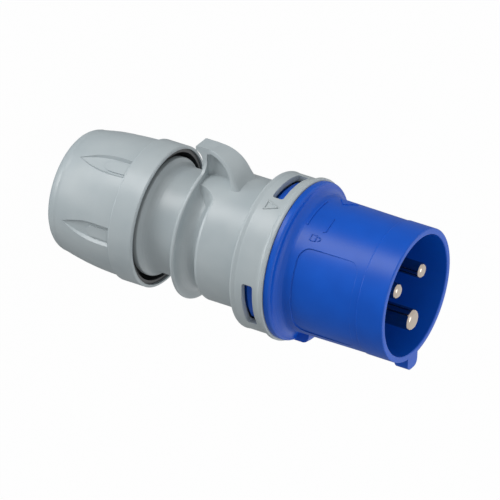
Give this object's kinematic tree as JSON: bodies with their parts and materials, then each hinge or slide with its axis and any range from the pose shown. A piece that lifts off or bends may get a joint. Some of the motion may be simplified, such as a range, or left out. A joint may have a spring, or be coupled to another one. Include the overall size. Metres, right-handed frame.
{
  "type": "industrial pin and sleeve plug",
  "caption": "Straight industrial plug: round contacts in a keyed blue shroud, a twist-locked grey body with finger ring and pull fin, and a fluted cable gland nut.",
  "frame": {"origin": "centre of the cable hole at the gland nut's flat rear face, on which the plug stands", "axes": "+Z along the plug towards its pins, -X towards the fin, +X towards the key and the earth pin"},
  "size_m": [0.0571, 0.0532, 0.1245],
  "materials": {
    "blue_plastic": "smooth moulded polyamide, softly shiny",
    "grey_plastic": "fine grained moulded polyamide, light grey",
    "black_plastic": "plain moulded plastic",
    "black_rubber": "matt elastomer",
    "natural_plastic": "plain natural polyamide",
    "ivory_plastic": "plain moulded insulating plastic",
    "contact_metal": "turned brass with a pale nickel plating",
    "steel": "zinc plated steel"
  },
  "bodies": {
    "housing": {"housing": "grey_plastic", "clamp_cage": "natural_plastic", "cable_seal": "black_rubber"},
    "contact_insert": {"contact_carrier": "blue_plastic", "line_pin": "contact_metal", "neutral_pin": "contact_metal", "earth_pin": "contact_metal", "pin_retainer": "ivory_plastic", "fixing_screw_top": "steel", "fixing_screw_right": "steel", "fixing_screw_left": "steel", "flange_gasket": "black_rubber"},
    "line_clamp": {"line_saddle": "steel"},
    "line_screw": {"line_screw": "steel"},
    "neutral_clamp": {"neutral_saddle": "steel"},
    "neutral_screw": {"neutral_screw": "steel"},
    "earth_clamp": {"earth_saddle": "steel"},
    "earth_screw": {"earth_screw": "steel"},
    "slip_ring": {"slip_ring": "natural_plastic"},
    "nut": {"gland_nut": "grey_plastic", "thread_sleeve": "black_plastic"}
  },
  "joints": [
    {"name": "twist_lock", "type": "hinge", "parent": "housing", "child": "contact_insert", "pos_m": [0, 0, 0.08], "axis": [0, 0, 1], "range_deg": [-40, 0]},
    {"name": "line_clamp_slide", "type": "slide", "parent": "contact_insert", "child": "line_clamp", "axis": [0.5, -0.866, 0], "range_m": [0, 0.0021]},
    {"name": "line_screw_turn", "type": "hinge", "parent": "line_clamp", "child": "line_screw", "pos_m": [-0.007, 0.01212, 0.0663], "axis": [0.5, -0.866, 0], "range_deg": [0, 1260]},
    {"name": "neutral_clamp_slide", "type": "slide", "parent": "contact_insert", "child": "neutral_clamp", "axis": [0.5, 0.866, 0], "range_m": [0, 0.0021]},
    {"name": "neutral_screw_turn", "type": "hinge", "parent": "neutral_clamp", "child": "neutral_screw", "pos_m": [-0.007, -0.01212, 0.0663], "axis": [0.5, 0.866, 0], "range_deg": [0, 1260]},
    {"name": "earth_clamp_slide", "type": "slide", "parent": "contact_insert", "child": "earth_clamp", "axis": [-1, 0, 0], "range_m": [0, 0.0021]},
    {"name": "earth_screw_turn", "type": "hinge", "parent": "earth_clamp", "child": "earth_screw", "pos_m": [0.014, 0, 0.0663], "axis": [-1, 0, 0], "range_deg": [0, 1260]},
    {"name": "nut_travel", "type": "slide", "parent": "housing", "child": "slip_ring", "axis": [0, 0, 1], "range_m": [-0.006, 0]},
    {"name": "nut_turn", "type": "hinge", "parent": "slip_ring", "child": "nut", "pos_m": [0, 0, 0.025], "axis": [0, 0, 1], "range_deg": [-1080, 0]}
  ],
  "couplings": [
    {"joint": "line_screw_turn", "follows": "line_clamp_slide", "rad_per_m": 10472},
    {"joint": "neutral_screw_turn", "follows": "neutral_clamp_slide", "rad_per_m": 10472},
    {"joint": "earth_screw_turn", "follows": "earth_clamp_slide", "rad_per_m": 10472},
    {"joint": "nut_turn", "follows": "nut_travel", "rad_per_m": 3141.6}
  ]
}
